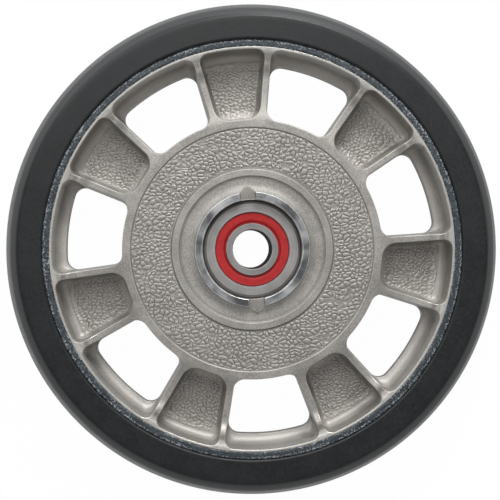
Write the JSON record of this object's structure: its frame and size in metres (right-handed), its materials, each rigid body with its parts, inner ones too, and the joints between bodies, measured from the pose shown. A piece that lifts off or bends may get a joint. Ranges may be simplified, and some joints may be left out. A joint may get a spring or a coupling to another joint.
{
  "type": "hand truck wheel",
  "caption": "Cast light-alloy hand truck wheel with paired ribs, open windows, moulded rubber tyre and sealed ball bearings for an axle.",
  "frame": {"origin": "middle of the wheel on its axis, halfway between the two hub faces", "axes": "+Z along the wheel's axis, out of the front face; the wheel lies on its rear hub face"},
  "size_m": [0.2032, 0.2032, 0.0406],
  "materials": {
    "cast_metal": "as-cast, fine grain, textured panels",
    "tyre_rubber": "satin moulded rubber with a scuffed flash band",
    "bearing_steel": "ground steel",
    "sleeve_steel": "turned steel",
    "seal_rubber": "red moulded rubber",
    "cage_polymer": "moulded polymer"
  },
  "bodies": {
    "wheel": {"wheel_casting": "cast_metal", "tyre": "tyre_rubber", "front_outer_ring": "bearing_steel", "front_outer_seal": "seal_rubber", "front_inner_seal": "seal_rubber", "rear_outer_ring": "bearing_steel", "rear_outer_seal": "seal_rubber", "rear_inner_seal": "seal_rubber"},
    "axle_sleeve": {"front_inner_ring": "bearing_steel", "rear_inner_ring": "bearing_steel", "spacer_sleeve": "sleeve_steel"},
    "front_ball_set": {"front_cage": "cage_polymer", "front_ball_1": "bearing_steel", "front_ball_2": "bearing_steel", "front_ball_3": "bearing_steel", "front_ball_4": "bearing_steel", "front_ball_5": "bearing_steel", "front_ball_6": "bearing_steel", "front_ball_7": "bearing_steel", "front_ball_8": "bearing_steel"},
    "rear_ball_set": {"rear_cage": "cage_polymer", "rear_ball_1": "bearing_steel", "rear_ball_2": "bearing_steel", "rear_ball_3": "bearing_steel", "rear_ball_4": "bearing_steel", "rear_ball_5": "bearing_steel", "rear_ball_6": "bearing_steel", "rear_ball_7": "bearing_steel", "rear_ball_8": "bearing_steel"}
  },
  "joints": [
    {"name": "wheel_spin", "type": "hinge", "parent": "axle_sleeve", "child": "wheel", "pos_m": [0, 0, 0], "axis": [0, 0, 1], "continuous": true},
    {"name": "front_ball_set_spin", "type": "hinge", "parent": "axle_sleeve", "child": "front_ball_set", "pos_m": [0, 0, 0.0116], "axis": [0, 0, 1], "continuous": true},
    {"name": "rear_ball_set_spin", "type": "hinge", "parent": "axle_sleeve", "child": "rear_ball_set", "pos_m": [0, 0, -0.0116], "axis": [0, 0, 1], "continuous": true}
  ],
  "couplings": [
    {"joint": "front_ball_set_spin", "follows": "wheel_spin", "ratio": 0.6212},
    {"joint": "rear_ball_set_spin", "follows": "wheel_spin", "ratio": 0.6212}
  ]
}
